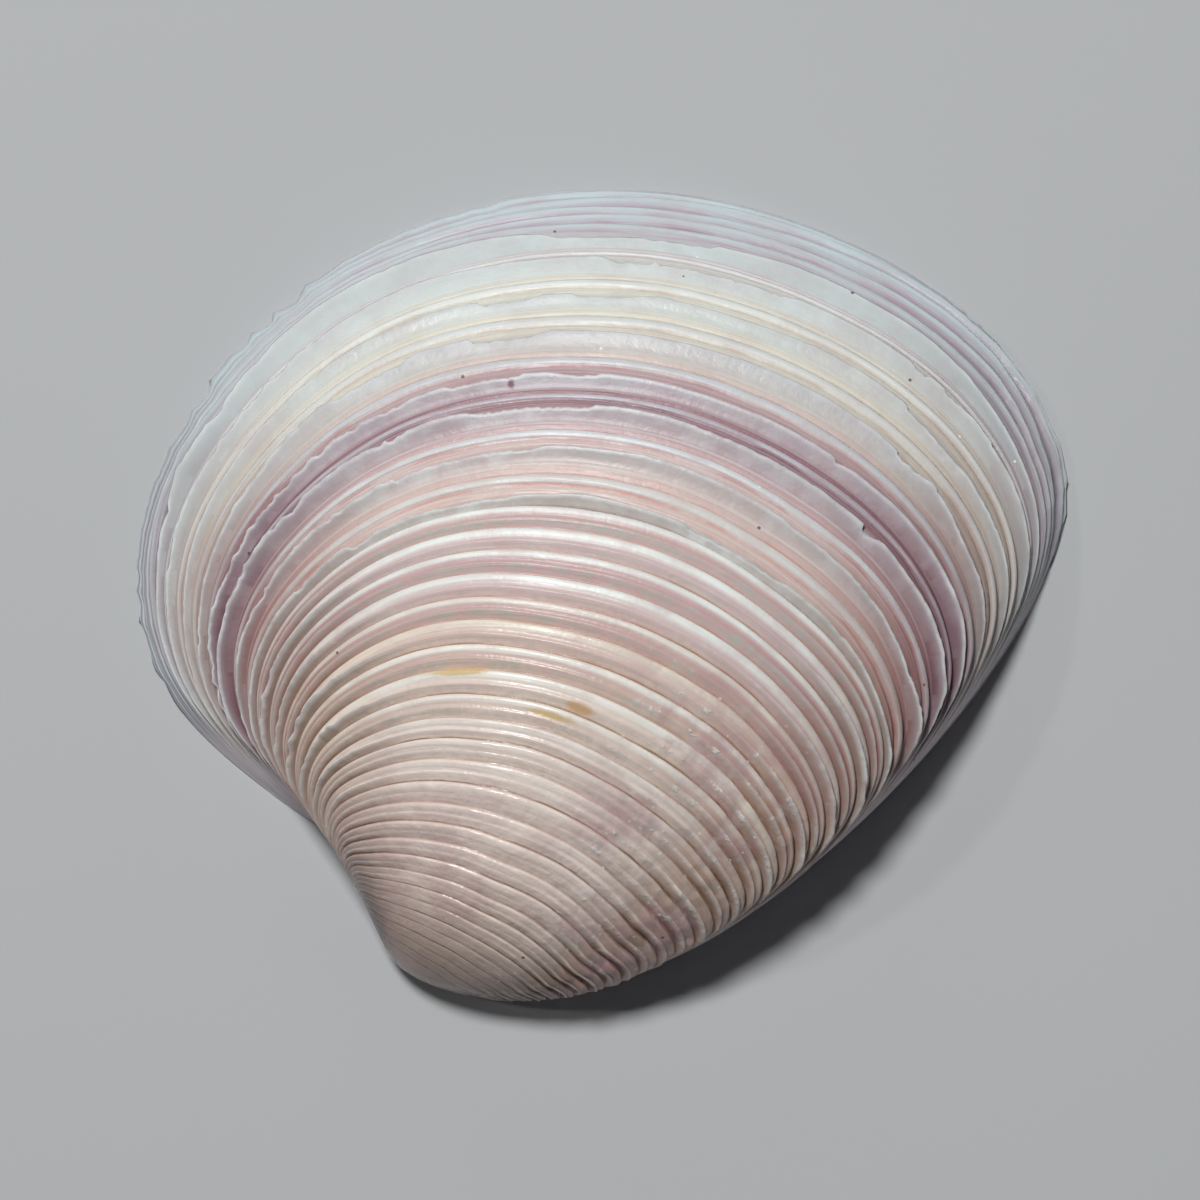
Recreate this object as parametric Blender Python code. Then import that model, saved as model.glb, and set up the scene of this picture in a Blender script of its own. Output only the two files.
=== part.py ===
"""One valve of a venus clam, lying on its rim with its ribbed outside up.

The outside is a growth spiral: the margin, shrunk and turned about a pole under the beak, leaves
one growth line for each age of the shell. The inside is a cavity kept one wall below the outside,
with a hinge plate and three teeth under the beak. All lengths are in metres.
"""
import math

import bmesh
import bpy
import numpy as np
from mathutils import Vector
from mathutils.bvhtree import BVHTree

MM = 0.001

# The margin, anticlockwise from the rear end, from the pole of the spiral. X runs along the hinge
# towards the rear of the clam and Y towards its belly.
MARGIN_POINTS = np.array([
    (29.7, 19.5), (30.2, 25.5), (26.4, 31.2), (19.0, 35.4), (9.5, 37.2), (0.0, 35.6),
    (-7.2, 31.5), (-12.4, 25.0), (-14.4, 18.0), (-12.6, 11.8), (-7.5, 7.2), (-0.8, 3.6),
    (6.5, 1.9), (13.5, 2.4), (19.6, 5.6), (25.0, 11.2),
]) * MM
COLUMNS = 50  # points round each growth line
FINE_SAMPLES = 12  # of the spline for each column, before they are spaced evenly

# The spiral: a growth line of age a is the margin turned by a radians about an axis that leans
# out of the rim's plane, and shrunk by exp(-SHRINK * a - SHRINK_FASTER * a * a).
SHRINK = 0.72
SHRINK_FASTER = 0.21
AXIS_LEAN = math.radians(-24.6)
OLDEST = 2.8
TIP_AGE = 2.95  # the beak's last ring is closed on the middle of this growth line
AGE_STEP = 0.01  # for slopes across the growth lines
LEAST_HEIGHT = 0.35 * MM  # the beak's underside stays this far above the rim's plane
RIM_AGE = 0.15  # and the outside comes down to the rim over about this much age

# The ribs, from the rim to the beak.
RIB_PITCH = 1.2 * MM
RIB_HEIGHT = 0.75 * MM
RIB_CREST = 0.28  # where the crest lies in its pitch, from the belly side
RIB_FULL_SIZE = 1 / 1.6  # growth lines smaller than this share of the margin have lower ribs
RIB_FACING = (-0.1, 0.35)  # ribs rise as the surface's upward slope passes from one to the other
PATH_SAMPLES = 1500

# The inside.
WALL = 1.5 * MM
RIM_WIDTH = 1.3 * MM
HINGE_RIM_WIDTH = 1.0 * MM
PLATE_HEIGHT = 1.3 * MM  # of the hinge plate above the rim's plane
PLATE_WIDTH = 5.0 * MM
PLATE_FRONT = (-11.0 * MM, -2.0 * MM)  # the plate widens over this stretch of X
PLATE_REAR = (9.0 * MM, 26.0 * MM)  # and tapers into the rim again over this one
PLATE_BELLY = (10.0 * MM, 16.0 * MM)  # and ends over this stretch of Y
PLATE_EDGE = 0.4 * MM  # added to its width for the rounded edge
CAVITY_CENTRE = np.array((8.5, 19.0)) * MM
CAVITY_RINGS = 9
CAVITY_CROWDING = 1.15  # over 1 brings the rings closer together near the plate
ROOF_RINGS = 60
LEAST_ROOF = 0.2 * MM
RIM_BEVEL = 0.5 * MM  # the rim's inner edge is cut back over this width
BEVEL_SLOPE = 1.6
ABOVE_SHELL = 100 * MM
PLATE_SLOPE = 2.2 * MM  # the reach over which the plate's belly edge rises to the cavity's roof

# Hinge teeth: the middle of each tooth's foot, its length, its width and its direction.
TEETH = (
    ((0.8 * MM, 6.2 * MM), 3.2 * MM, 0.8 * MM, math.radians(114)),
    ((3.6 * MM, 6.0 * MM), 3.6 * MM, 1.1 * MM, math.radians(84)),
    ((7.6 * MM, 5.6 * MM), 4.6 * MM, 0.9 * MM, math.radians(36)),
)
TOOTH_TIP = 0.3 * MM  # the teeth stop this far above the rim's plane
TOOTH_ROOT = 0.8 * MM  # and reach this far into the plate
TOOTH_TIP_LENGTH = 0.8  # a tooth's tip, as shares of its length and width
TOOTH_TIP_WIDTH = 0.45

SHELL_COLOUR = (0.72, 0.64, 0.61, 1)
SHELL_ROUGHNESS = 0.42
SHARP_ANGLE = math.radians(50)


def smooth_step(value, start, end):
    """0 before start, 1 after end and an S-shaped rise between."""
    share = np.clip((value - start) / (end - start), 0.0, 1.0)
    return share * share * (3 - 2 * share)


def closed_spline(points, samples):
    """A smooth closed curve through the points, with its samples evenly spaced along it."""
    count = len(points)
    after = np.roll(points, -1, axis=0)
    step = np.linalg.norm(after - points, axis=1) ** 0.5
    system = np.zeros((count, count))
    right = np.zeros((count, 2))
    for i in range(count):
        before = step[i - 1]
        system[i, i - 1] = 1 / before
        system[i, i] = 2 / before + 2 / step[i]
        system[i, (i + 1) % count] = 1 / step[i]
        rise = (points[i] - points[i - 1]) / before**2 + (after[i] - points[i]) / step[i] ** 2
        right[i] = 3 * rise
    slope = np.linalg.solve(system, right)
    place = np.linspace(0, count, samples * FINE_SAMPLES + 1)[:-1]
    i = place.astype(int)
    j = (i + 1) % count
    t = (place - i)[:, None]
    h = step[i][:, None]
    fine = (1 + 2 * t) * (1 - t) ** 2 * points[i] + t * (1 - t) ** 2 * h * slope[i]
    fine += t * t * (3 - 2 * t) * points[j] + t * t * (t - 1) * h * slope[j]
    fine = np.vstack([fine, fine[:1]])
    along = np.concatenate([[0], np.cumsum(np.linalg.norm(np.diff(fine, axis=0), axis=1))])
    wanted = np.linspace(0, along[-1], samples + 1)[:-1]
    return np.stack([np.interp(wanted, along, fine[:, k]) for k in (0, 1)], axis=1)


def size_at(age):
    """The size of a growth line, as a share of the margin."""
    return math.exp(-SHRINK * age - SHRINK_FASTER * age * age)


def growth_line(margin, age):
    """The growth line of one age, before any rib stands on it."""
    out, lean = math.cos(AXIS_LEAN), math.sin(AXIS_LEAN)
    turn, rise = math.cos(age), math.sin(age)
    x, y = margin[:, 0], margin[:, 1]
    spun = np.stack([
        x * turn - lean * y * rise + out * out * x * (1 - turn),
        y * turn + lean * x * rise,
        out * y * rise + lean * out * x * (1 - turn),
    ], axis=1) * size_at(age)
    least = LEAST_HEIGHT * math.tanh(age / RIM_AGE)
    lift = spun[:, 2] - least
    spun[:, 2] = 0.5 * (spun[:, 2] + least + np.sqrt(lift * lift + least * least))
    return spun


def outward(margin, age):
    """Unit normals of the smooth outside along a growth line."""
    line = growth_line(margin, age)
    along = np.roll(line, -1, axis=0) - np.roll(line, 1, axis=0)
    older = growth_line(margin, age + AGE_STEP) - growth_line(margin, max(age - AGE_STEP, 0))
    normal = np.cross(along, older)
    return normal / np.linalg.norm(normal, axis=1)[:, None]


def ribs_of_age(margin):
    """The ages of the grooves and crests, from the rim to the beak, evenly pitched along the
    middle of the outside."""
    ages = np.linspace(0, OLDEST, PATH_SAMPLES)
    middle = int(np.argmax(margin[:, 1]))
    path = np.array([growth_line(margin, age)[middle] for age in ages])
    along = np.concatenate([[0], np.cumsum(np.linalg.norm(np.diff(path, axis=0), axis=1))])
    count = int(along[-1] / RIB_PITCH)
    places = [(n + share) * RIB_PITCH for n in range(count) for share in (0, RIB_CREST)]
    return [float(np.interp(place, along, ages)) for place in places]


def outside_rings(margin):
    """Rings of points from the rim to the beak: a groove and a crest for each rib. The ribs fade
    out where the outside turns down to the hinge, and shrink with the shell towards the beak."""
    rings = []
    for n, age in enumerate(ribs_of_age(margin)):
        line = growth_line(margin, age)
        if n % 2:
            normal = outward(margin, age)
            height = RIB_HEIGHT * min(1.0, size_at(age) / RIB_FULL_SIZE)
            height = height * smooth_step(normal[:, 2], *RIB_FACING)
            line = line + normal * height[:, None]
        rings.append(line)
    return rings


def cavity_roof(margin):
    """The surface one wall below the smooth outside, to be measured from above."""
    mesh = bmesh.new()
    ages = np.linspace(0, OLDEST, ROOF_RINGS)
    rings = [growth_line(margin, age) - WALL * outward(margin, age) for age in ages]
    rings = [add_ring(mesh, points) for points in rings]
    for first, second in zip(rings, rings[1:]):
        bridge(mesh, first, second)
    roof = BVHTree.FromBMesh(mesh)
    mesh.free()
    return roof


def inside_rings(margin):
    """Rings of points from the rim's inner edge to the top of the cavity, and that top."""
    hinge = smooth_step(margin[:, 0], *PLATE_FRONT) * (1 - smooth_step(margin[:, 0], *PLATE_REAR))
    hinge *= 1 - smooth_step(margin[:, 1], *PLATE_BELLY)
    inward = CAVITY_CENTRE - margin
    reach = np.linalg.norm(inward, axis=1)
    inward = inward / reach[:, None]
    roof = cavity_roof(margin)

    def height_over(point):
        hit = roof.ray_cast(Vector((*point, ABOVE_SHELL)), Vector((0, 0, -1)))[0]
        return max(hit.z, 0.0) if hit else 0.0

    def ring(depth):
        """Points at a depth from the margin, at the height of the cavity's roof."""
        flat = margin + inward * depth[:, None]
        return np.column_stack([flat, [height_over(point) for point in flat]])

    rim = RIM_WIDTH + (HINGE_RIM_WIDTH - RIM_WIDTH) * hinge
    face = ring(rim)
    face[:, 2] = 0
    rings = [face]
    step_in = rim + RIM_BEVEL
    plate = step_in + (PLATE_WIDTH - HINGE_RIM_WIDTH) * hinge + PLATE_EDGE
    for depth in (step_in, plate):
        points = ring(depth)
        free = np.minimum(np.maximum(points[:, 2], LEAST_ROOF), (depth - rim) * BEVEL_SLOPE)
        points[:, 2] = free + (PLATE_HEIGHT - free) * hinge
        rings.append(points)
    edge_height = rings[-1][:, 2]
    for n in range(1, CAVITY_RINGS + 1):
        share = (n / (CAVITY_RINGS + 1)) ** CAVITY_CROWDING
        depth = plate + (reach - plate) * share
        points = ring(depth)
        rise = 1 - np.exp(-(depth - plate) / PLATE_SLOPE)
        points[:, 2] = edge_height + (points[:, 2] - edge_height) * rise
        rings.append(points)
    return rings, Vector((*CAVITY_CENTRE, height_over(CAVITY_CENTRE)))


def add_ring(mesh, points):
    return [mesh.verts.new(point) for point in points]


def bridge(mesh, first, second):
    """Quads between two rings of equal length, facing out of the shell."""
    count = len(first)
    for i in range(count):
        j = (i + 1) % count
        mesh.faces.new((first[i], first[j], second[j], second[i]))


def close(mesh, ring, point, turned):
    """A fan from a ring to one point."""
    tip = mesh.verts.new(point)
    for i in range(len(ring)):
        j = (i + 1) % len(ring)
        mesh.faces.new((ring[i], ring[j], tip) if not turned else (ring[j], ring[i], tip))


def shell_mesh():
    margin = closed_spline(MARGIN_POINTS, COLUMNS)
    mesh = bmesh.new()
    outer = [add_ring(mesh, points) for points in outside_rings(margin)]
    for first, second in zip(outer, outer[1:]):
        bridge(mesh, first, second)
    oldest = growth_line(margin, TIP_AGE).mean(axis=0)
    close(mesh, outer[-1], oldest, turned=False)
    rings, top = inside_rings(margin)
    inner = [add_ring(mesh, points) for points in rings]
    bridge(mesh, inner[0], outer[0])
    for first, second in zip(inner, inner[1:]):
        bridge(mesh, second, first)
    close(mesh, inner[-1], top, turned=True)
    return mesh


def add_object(mesh, name):
    data = bpy.data.meshes.new(name)
    mesh.to_mesh(data)
    mesh.free()
    thing = bpy.data.objects.new(name, data)
    bpy.context.scene.collection.objects.link(thing)
    return thing


def tooth(number, foot, length, width, direction):
    """A wedge with a narrow crest, hanging from the hinge plate, to be joined to the shell."""
    mesh = bmesh.new()
    bmesh.ops.create_cube(mesh, size=1)
    root = PLATE_HEIGHT + TOOTH_ROOT
    for vertex in mesh.verts:
        tip = vertex.co.z < 0
        vertex.co.x *= length * (TOOTH_TIP_LENGTH if tip else 1)
        vertex.co.y *= width * (TOOTH_TIP_WIDTH if tip else 1)
        vertex.co.z = TOOTH_TIP if tip else root
    thing = add_object(mesh, f"tooth_{number}")
    thing.location = (*foot, 0)
    thing.rotation_euler = (0, 0, direction)
    thing.display_type = "WIRE"
    thing.hide_render = True
    return thing


def shell_material():
    material = bpy.data.materials.new("shell")
    material.use_nodes = True
    surface = material.node_tree.nodes["Principled BSDF"]
    surface.inputs["Base Color"].default_value = SHELL_COLOUR
    surface.inputs["Roughness"].default_value = SHELL_ROUGHNESS
    surface.inputs["Metallic"].default_value = 0.0
    return material


def main():
    for thing in list(bpy.data.objects):
        bpy.data.objects.remove(thing, do_unlink=True)
    mesh = shell_mesh()
    lowest = [min(v.co[axis] for v in mesh.verts) for axis in range(3)]
    highest = [max(v.co[axis] for v in mesh.verts) for axis in range(3)]
    shell = add_object(mesh, "right_valve")
    shell.data.materials.append(shell_material())
    centre = Vector(((lowest[0] + highest[0]) / 2, (lowest[1] + highest[1]) / 2, 0))
    shell.location = -centre
    for number, (foot, length, width, direction) in enumerate(TEETH, start=1):
        wedge = tooth(number, foot, length, width, direction)
        wedge.location -= centre
        union = shell.modifiers.new(f"tooth_{number}", "BOOLEAN")
        union.operation = "UNION"
        union.object = wedge
    shell.data.shade_smooth()
    shell.data.set_sharp_from_angle(angle=SHARP_ANGLE)


main()
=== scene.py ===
import math

import bpy
import numpy as np
from mathutils import Matrix


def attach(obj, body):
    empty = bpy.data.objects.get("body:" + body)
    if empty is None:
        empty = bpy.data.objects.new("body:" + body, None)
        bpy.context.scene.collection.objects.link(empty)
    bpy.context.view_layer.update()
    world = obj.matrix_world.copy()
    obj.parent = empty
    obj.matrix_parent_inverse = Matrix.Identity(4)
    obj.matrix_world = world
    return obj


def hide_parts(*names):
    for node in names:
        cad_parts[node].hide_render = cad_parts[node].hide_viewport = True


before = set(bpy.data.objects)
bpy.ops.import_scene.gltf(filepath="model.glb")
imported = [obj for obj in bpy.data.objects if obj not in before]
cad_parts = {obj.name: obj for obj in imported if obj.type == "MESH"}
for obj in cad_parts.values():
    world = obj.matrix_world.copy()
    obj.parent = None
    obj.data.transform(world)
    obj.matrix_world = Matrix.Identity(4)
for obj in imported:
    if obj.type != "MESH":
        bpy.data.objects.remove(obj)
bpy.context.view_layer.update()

mm = 0.001
print("frame loaded")

# growth of the shell; lengths here are in mm

spiral = {
    "margin": [(29.7, 19.5), (30.2, 25.5), (26.4, 31.2), (19.0, 35.4), (9.5, 37.2), (0.0, 35.6),
               (-7.2, 31.5), (-12.4, 25.0), (-14.4, 18.0), (-12.6, 11.8), (-7.5, 7.2), (-0.8, 3.6),
               (6.5, 1.9), (13.5, 2.4), (19.6, 5.6), (25.0, 11.2)],
    "shrink": 0.72,
    "shrinkFaster": 0.21,
    "axisLean": math.radians(-24.6),
    "leastHeight": 0.35,
    "rimAge": 0.15,
    "oldest": 2.8,
    "pole": (-8.082, -17.468),   # where the spiral's pole lies in the frame
    "middle": 0.52,              # the place round the margin that growth is measured along
    "marginSteps": 8000,
    "ageSteps": 4000,
    "nearRound": 0.002,          # how far away the neighbours lie that give directions, round and in age
    "nearAge": 0.01,
}


def smoothStep(value, start, end):
    # 0 before start, 1 after end, an S-shaped rise between
    share = np.clip((value - start) / (end - start), 0.0, 1.0)
    return share * share * (3 - 2 * share)


def plateau(value, rise, fall):
    # 0, up to 1 over the stretch rise, and back to 0 over the stretch fall
    return smoothStep(value, *rise) * (1 - smoothStep(value, *fall))


def closedCurve(points, samples):
    # a cubic through every point whose slopes agree on both sides, closed on itself
    count = len(points)
    i = np.arange(count)
    after = np.roll(points, -1, axis=0)
    before = np.roll(points, 1, axis=0)
    step = np.linalg.norm(after - points, axis=1) ** 0.5
    back = np.roll(step, 1)
    system = np.zeros((count, count))
    system[i, i - 1] = 1 / back
    system[i, i] = 2 / back + 2 / step
    system[i, (i + 1) % count] = 1 / step
    rise = (points - before) / back[:, None] ** 2 + (after - points) / step[:, None] ** 2
    slope = np.linalg.solve(system, 3 * rise)
    place = np.linspace(0, count, samples + 1)[:-1]
    i = place.astype(int)
    j = (i + 1) % count
    t = (place - i)[:, None]
    h = step[i][:, None]
    curve = (1 + 2 * t) * (1 - t) ** 2 * points[i] + t * (1 - t) ** 2 * h * slope[i]
    return curve + t * t * (3 - 2 * t) * points[j] + t * t * (t - 1) * h * slope[j]


def lengthAlong(path):
    # the running sum of the distances from point to point
    return np.concatenate([[0], np.cumsum(np.linalg.norm(np.diff(path, axis=0), axis=1))])


# the margin, read from the middle of the hinge round by the front, the belly and the rear
marginLine = closedCurve(np.array(spiral["margin"]), spiral["marginSteps"])
hingeMiddle = np.argmin(marginLine[:, 1])
marginLine = marginLine[(hingeMiddle - np.arange(spiral["marginSteps"] + 1)) % spiral["marginSteps"]]
marginLength = lengthAlong(marginLine)


def marginAt(around):
    # the margin's point at a share of its length
    place = np.mod(around, 1) * marginLength[-1]
    return np.stack([np.interp(place, marginLength, marginLine[:, k]) for k in (0, 1)], axis=-1)


def shrunk(age):
    # a growth line's size as a share of the margin: exp(-a*age - b*age^2)
    return np.exp(-spiral["shrink"] * age - spiral["shrinkFaster"] * age * age)


def growthSurface(age, around):
    # the margin turned by age about a leaning axis and shrunk, with its height held a little above the
    # rim's plane
    out, lean = math.cos(spiral["axisLean"]), math.sin(spiral["axisLean"])
    flat = marginAt(around)
    x, y = flat[..., 0], flat[..., 1]
    turn, rise = np.cos(age), np.sin(age)
    size = shrunk(age)
    px = (x * turn - lean * y * rise + out * out * x * (1 - turn)) * size
    py = (y * turn + lean * x * rise) * size
    pz = (out * y * rise + lean * out * x * (1 - turn)) * size
    least = spiral["leastHeight"] * np.tanh(age / spiral["rimAge"])
    pz = 0.5 * (pz + least + np.sqrt((pz - least) ** 2 + least ** 2))
    return np.stack([px + spiral["pole"][0], py + spiral["pole"][1], pz], axis=-1)


def unit(vector):
    # divided by its own length
    return vector / np.linalg.norm(vector, axis=-1, keepdims=True)


def localFrame(age, around):
    # directions on the smooth shell: along the growth line, towards the rim, and outwards,
    # with the distance that one unit of age moves the line
    near = spiral["nearRound"]
    along = unit(growthSurface(age, around + near) - growthSurface(age, around - near))
    younger = np.maximum(age - spiral["nearAge"], 0)
    older = age + spiral["nearAge"]
    move = growthSurface(older, around) - growthSurface(younger, around)
    move = move / (older - younger)[..., None]
    move = move - (move * along).sum(-1, keepdims=True) * along
    spacing = np.linalg.norm(move, axis=-1)
    toRim = -move / spacing[..., None]
    return along, toRim, np.cross(along, toRim), spacing


ageTable = np.linspace(0, spiral["oldest"] + 0.3, spiral["ageSteps"])
growthTable = lengthAlong(growthSurface(ageTable, np.full(spiral["ageSteps"], spiral["middle"])))


def ageOf(growth):
    # the age at which the line along the middle is this long
    return np.interp(growth, growthTable, ageTable)


# points round each growth line: how close they lie at places round the margin, closest on the front
# and rear thirds, where the lamellae are frilled, and widest at the hinge
columns = {
    "count": 472,
    "places": [0.0, 0.11, 0.16, 0.34, 0.40, 0.58, 0.64, 0.78, 0.86, 1.0],
    "density": [0.28, 0.28, 1.25, 1.25, 0.95, 0.95, 1.20, 1.20, 0.28, 0.28],
}


def columnPlaces():
    # whole steps of the running total of the density
    fine = np.linspace(0, 1, 4001)
    density = np.interp(fine, columns["places"], columns["density"])
    total = np.concatenate([[0], np.cumsum((density[1:] + density[:-1]) / 2)])
    return np.interp(np.arange(columns["count"]) / columns["count"], total / total[-1], fine)


around = columnPlaces()


def blended(first, second, share):
    # first where share is 0, second where it is 1
    return first * (1 - share) + second * share


def cellsAt(place, cells):
    # the cell in which each place lies, the one after it, and how far into its cell the place lies
    place = np.mod(place, cells)
    i = place.astype(int) % cells
    return i, (i + 1) % cells, place - np.floor(place)


def roughLine(cells, seed):
    # random heights from -1 to 1 at whole cells, joined by an S-shaped blend, closed on itself
    heights = np.random.default_rng(seed).uniform(-1, 1, cells)
    i, after, t = cellsAt(around * cells, cells)
    return blended(heights[i], heights[after], smoothStep(t, 0, 1))


def stepLine(cells, seed):
    # random levels from -1 to 1, each held over a stretch of its own length, with steep changes between
    levels = np.random.default_rng(seed).uniform(-1, 1, cells)
    i, after, t = cellsAt(around * cells + 0.9 * roughLine(2 * cells + 1, seed + 1), cells)
    return blended(levels[i], levels[after], smoothStep(t, 0.46, 0.54))


def cuspLine(cells, seed):
    # uneven bites from 0 to 1 that meet in points: a quarter wave up to each bite's own deepest place
    # and a quarter wave back
    rng = np.random.default_rng(seed)
    depths = rng.uniform(0.15, 1, cells)
    leans = rng.uniform(0.25, 0.75, cells)
    i, after, t = cellsAt(around * cells + 0.8 * roughLine(cells // 2 + 1, seed + 1), cells)
    arc = np.where(t < leans[i], t / leans[i], (1 - t) / (1 - leans[i]))
    return depths[i] * np.sin(arc * math.pi / 2)


def softened(values, reach):
    # the mean over the columns on both sides
    return np.mean([np.roll(values, shift) for shift in range(-reach, reach + 1)], axis=0)


# stretches round the margin: where the lamellae rise and sink next to the hinge, and the front and rear
# thirds, where the shell turns down and the lamellae stand highest
ends = {
    "rise": (0.165, 0.205),
    "sink": (0.725, 0.765),
    "least": 0.08,              # of the lamellae's height is left under the hinge
    "front": ((0.17, 0.22), (0.27, 0.38)),
    "rear": ((0.60, 0.70), (0.75, 0.79)),
}
risen = plateau(around, ends["rise"], ends["sink"])
fade = ends["least"] + (1 - ends["least"]) * risen
front = plateau(around, *ends["front"])
rear = plateau(around, *ends["rear"])

# low wandering ridges next to the rim: the growth at their grooves, at these places round the margin, and
# their height, to which leaning out adds at the front and rear
rimRidges = {
    "places": [0.18, 0.25, 0.29, 0.33, 0.37, 0.42, 0.47, 0.53, 0.58, 0.62, 0.67, 0.70, 0.73],
    "grooves": [
        [0.30, 0.35, 0.35, 0.32, 0.28, 0.30, 0.32, 0.30, 0.22, 0.20, 0.22, 0.28, 0.30],
        [1.05, 0.95, 0.90, 0.72, 0.68, 1.00, 0.86, 0.78, 0.62, 0.50, 0.55, 0.75, 0.90],
        [1.80, 1.62, 1.55, 1.38, 1.35, 1.72, 1.74, 1.68, 1.22, 1.02, 1.12, 1.55, 1.80],
        [2.70, 2.35, 2.10, 2.30, 2.15, 2.35, 2.32, 2.36, 2.22, 2.02, 2.12, 2.75, 2.90],
        [3.30, 2.95, 2.50, 2.85, 2.65, 2.75, 3.05, 3.20, 2.85, 2.75, 2.90, 3.35, 3.40],
    ],
    "height": 0.17,
    "front": 0.06,
    "rear": 0.26,
    "joined": (0.33, 0.43),    # towards the front of this stretch every second ridge joins the one before
    "least": 0.12,             # from each groove to the next
    # its crest and slope: how far along, the shares of its reach and height, its tip and edge
    "shape": [(0.16, 1, 0.80, 1, 0.6), (0.36, 0.8, 1, 1, 0.6), (0.72, 0.2, 0.35, 0.4, 0)],
}

# each lamella: growth at its root, how far its edge reaches over the line before it, its height, what the
# front and rear add to the height, how torn its edge is and the height of the rib behind it
lamellaRows = [
    (4.80, 0.95, 0.18, -0.2, 0.2, 0.4, 0.05),
    (6.65, 0.92, 0.26, -0.3, -0.1, 0.6, 0.12),
    (9.00, 0.72, 0.28, -0.5, -0.2, 0.6, 0.13),
    (11.62, 0.80, 0.32, -0.4, -0.3, 0.7, 0.14),
    (14.12, 0.66, 0.36, 0.2, 0.0, 0.7, 0.16),
    (16.10, 0.74, 0.38, 0.3, -0.2, 0.7, 0.16),
    (18.35, 0.66, 0.32, 0.1, 0.1, 0.7, 0.16),
    (20.88, 0.56, 0.28, 0.3, 0.1, 0.7, 0.0),
]
lamellaNames = ("root", "length", "height", "front", "rear", "torn", "rib")
lamellae = [dict(zip(lamellaNames, row)) for row in lamellaRows]

# how the reach varies round the margin, for the first lamella and for the others
spreads = {
    "first": [(0.20, 0.2), (0.24, 0.4), (0.285, 1.25), (0.315, 0.85), (0.34, 1.05), (0.37, 1.35),
              (0.44, 1.25), (0.485, 0.85), (0.52, 0.75), (0.57, 1.15), (0.62, 1.1), (0.69, 0.75),
              (0.73, 0.3), (0.76, 0.2)],
    "others": [(0.18, 0.5), (0.24, 0.6), (0.28, 0.66), (0.33, 0.75), (0.38, 0.9), (0.50, 1.0), (0.64, 0.95),
               (0.70, 0.75), (0.74, 0.5), (0.80, 0.4)],
}

lamellaShape = {
    "rise": [0.0, 0.55, 1.0],          # rings up the belly side, as shares of what is left of the height
    "fall": [1.0, 0.72, 0.36, 0.0],    # and down the beak side
    "rootHalf": 0.12,
    "edgeHalf": 0.04,
    "foot": 0.05,
    "undercut": (0.20, 0.30),          # how far the belly side leans in, in the middle and on the flanks
    "dip": 0.05,
    # the floor behind it, from its foot to the next edge: how far along, the share of the dip, of the rib
    "floor": [(0.04, -0.4, 0), (0.31, 0.5, 0), (0.355, -1, 0), (0.41, 0, 0.80), (0.53, 0, 1),
              (0.67, 0, 0.75), (0.73, -1, 0), (0.79, 0, 0.35), (0.97, 0, 0.10)],
}

# how edges are torn, as shares of their height: slow and fine waves, bites at the front, at the rear and on
# worn stretches, each given as how many lie round the margin, a seed and how deep they are
tearing = {
    "waves": [(19, 100, 0.05), (67, 200, 0.03)],
    "fineWaves": [(239, 700, 0.02)],
    "frilled": ((0.17, 0.22), (0.34, 0.46)),
    "frontBites": [(61, 400, 0.62), (149, 450, 0.28)],
    "rearBites": [(37, 500, 0.34), (119, 520, 0.14)],
    "wornBites": (173, 550, 0.10),
    "slopes": [0.0011, 0.0055],        # of a break's two ends, steep and gentle
    "least": 0.2,
    "most": 1.3,
}

# breaks in the lamellae: which one, the middle of the break round the margin, half its width, its depth
breaks = [
    (0, 0.505, 0.034, 0.40), (0, 0.250, 0.020, 0.25), (1, 0.503, 0.009, 0.50), (1, 0.543, 0.029, 0.38),
    (1, 0.635, 0.003, 0.35), (1, 0.653, 0.007, 0.25), (2, 0.448, 0.012, 0.45), (2, 0.492, 0.014, 0.34),
    (2, 0.651, 0.017, 0.36), (3, 0.378, 0.018, 0.40), (3, 0.443, 0.015, 0.50), (3, 0.642, 0.008, 0.38),
    (4, 0.384, 0.006, 0.35), (4, 0.430, 0.018, 0.28), (4, 0.475, 0.010, 0.30), (4, 0.609, 0.003, 0.40),
    (5, 0.452, 0.030, 0.34), (5, 0.636, 0.005, 0.62), (6, 0.415, 0.040, 0.36), (6, 0.655, 0.060, 0.20),
    (7, 0.390, 0.050, 0.30), (7, 0.570, 0.030, 0.36),
]

# the older ridges: their grooves, measured along the middle, and the heights; every second one ends in a
# higher step than the others
ridges = {
    "grooves": [20.95, 22.05, 23.2, 24.4, 25.65, 26.8, 28.05, 29.3, 30.55, 31.75, 32.8, 33.9, 35.1, 36.3,
               37.4, 38.5, 39.55, 40.6, 41.5, 42.4, 43.2, 44.0, 44.8, 45.6, 46.4, 47.2],
    "coarseFrom": 36.0,       # from here on every fourth column is enough
    "crest": 0.19,
    "step": 0.06,
    "standing": 0.80,         # height of the low lamellae on the flanks
    "depth": 0.05,
    "lip": 0.07,
    "plainBeak": (41.5, 45.5),
    "plainFront": (38.0, 42.0),
    "roughRear": ((0.50, 0.60), (0.74, 0.78)),
    # its crest and slope: how far along, the share of the lip that it leans out, the share of the height
    "crestShape": [(0.05, 0.4, 0.35), (0.10, 1, 0.88), (0.18, 0.4, 1), (0.36, 0, 0.86)],
}

# slow waves of the growth lines, in which neighbouring lines agree: how many lie round the margin, their
# seed, and the growth over which they turn by a radian; then how much nearer the rim the ends of the older
# lines lie, and over which stretches
waves = {
    "height": 0.08,
    "first": (13, 21, 3.1),
    "second": (17, 22, 2.3),
    "bendFrom": (24, 34),
    "bendFront": (0.35, (0.20, 0.34)),
    "bendRear": (0.85, (0.645, 0.75)),
    "beakFrom": (34, 41),
    "beak": (1.0, (0.20, 0.29)),
}


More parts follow.
